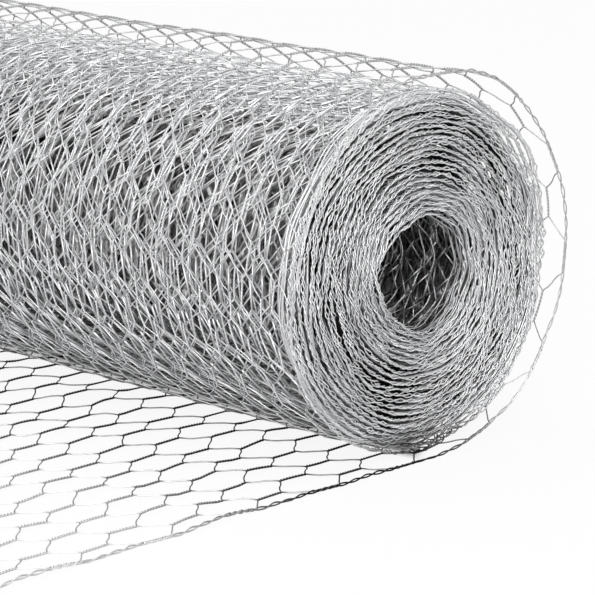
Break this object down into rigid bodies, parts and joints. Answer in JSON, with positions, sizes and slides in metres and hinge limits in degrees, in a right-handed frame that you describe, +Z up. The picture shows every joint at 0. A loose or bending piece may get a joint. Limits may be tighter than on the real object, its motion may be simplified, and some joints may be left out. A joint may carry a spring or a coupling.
{
  "type": "roll of hexagonal wire netting",
  "caption": "Roll of galvanised hexagonal wire netting on its side, its outer turn slack and its free end laid flat, for fencing, pens and plant guards.",
  "frame": {"origin": "middle of the bounding box at floor level", "axes": "+X along the roll towards the end that the slack netting stands out of, +Z up, the free end runs towards -Y"},
  "size_m": [0.5112, 0.4362, 0.2116],
  "materials": {
    "galvanised_wire": "bright zinc coat, slightly mottled"
  },
  "bodies": {
    "root": {"wound_roll": "galvanised_wire", "slack_strip_1": "galvanised_wire", "slack_strip_2": "galvanised_wire", "slack_strip_3": "galvanised_wire", "slack_strip_4": "galvanised_wire", "slack_strip_5": "galvanised_wire", "slack_strip_6": "galvanised_wire", "slack_strip_7": "galvanised_wire", "slack_strip_8": "galvanised_wire", "slack_strip_9": "galvanised_wire", "free_end": "galvanised_wire"}
  },
  "joints": []
}
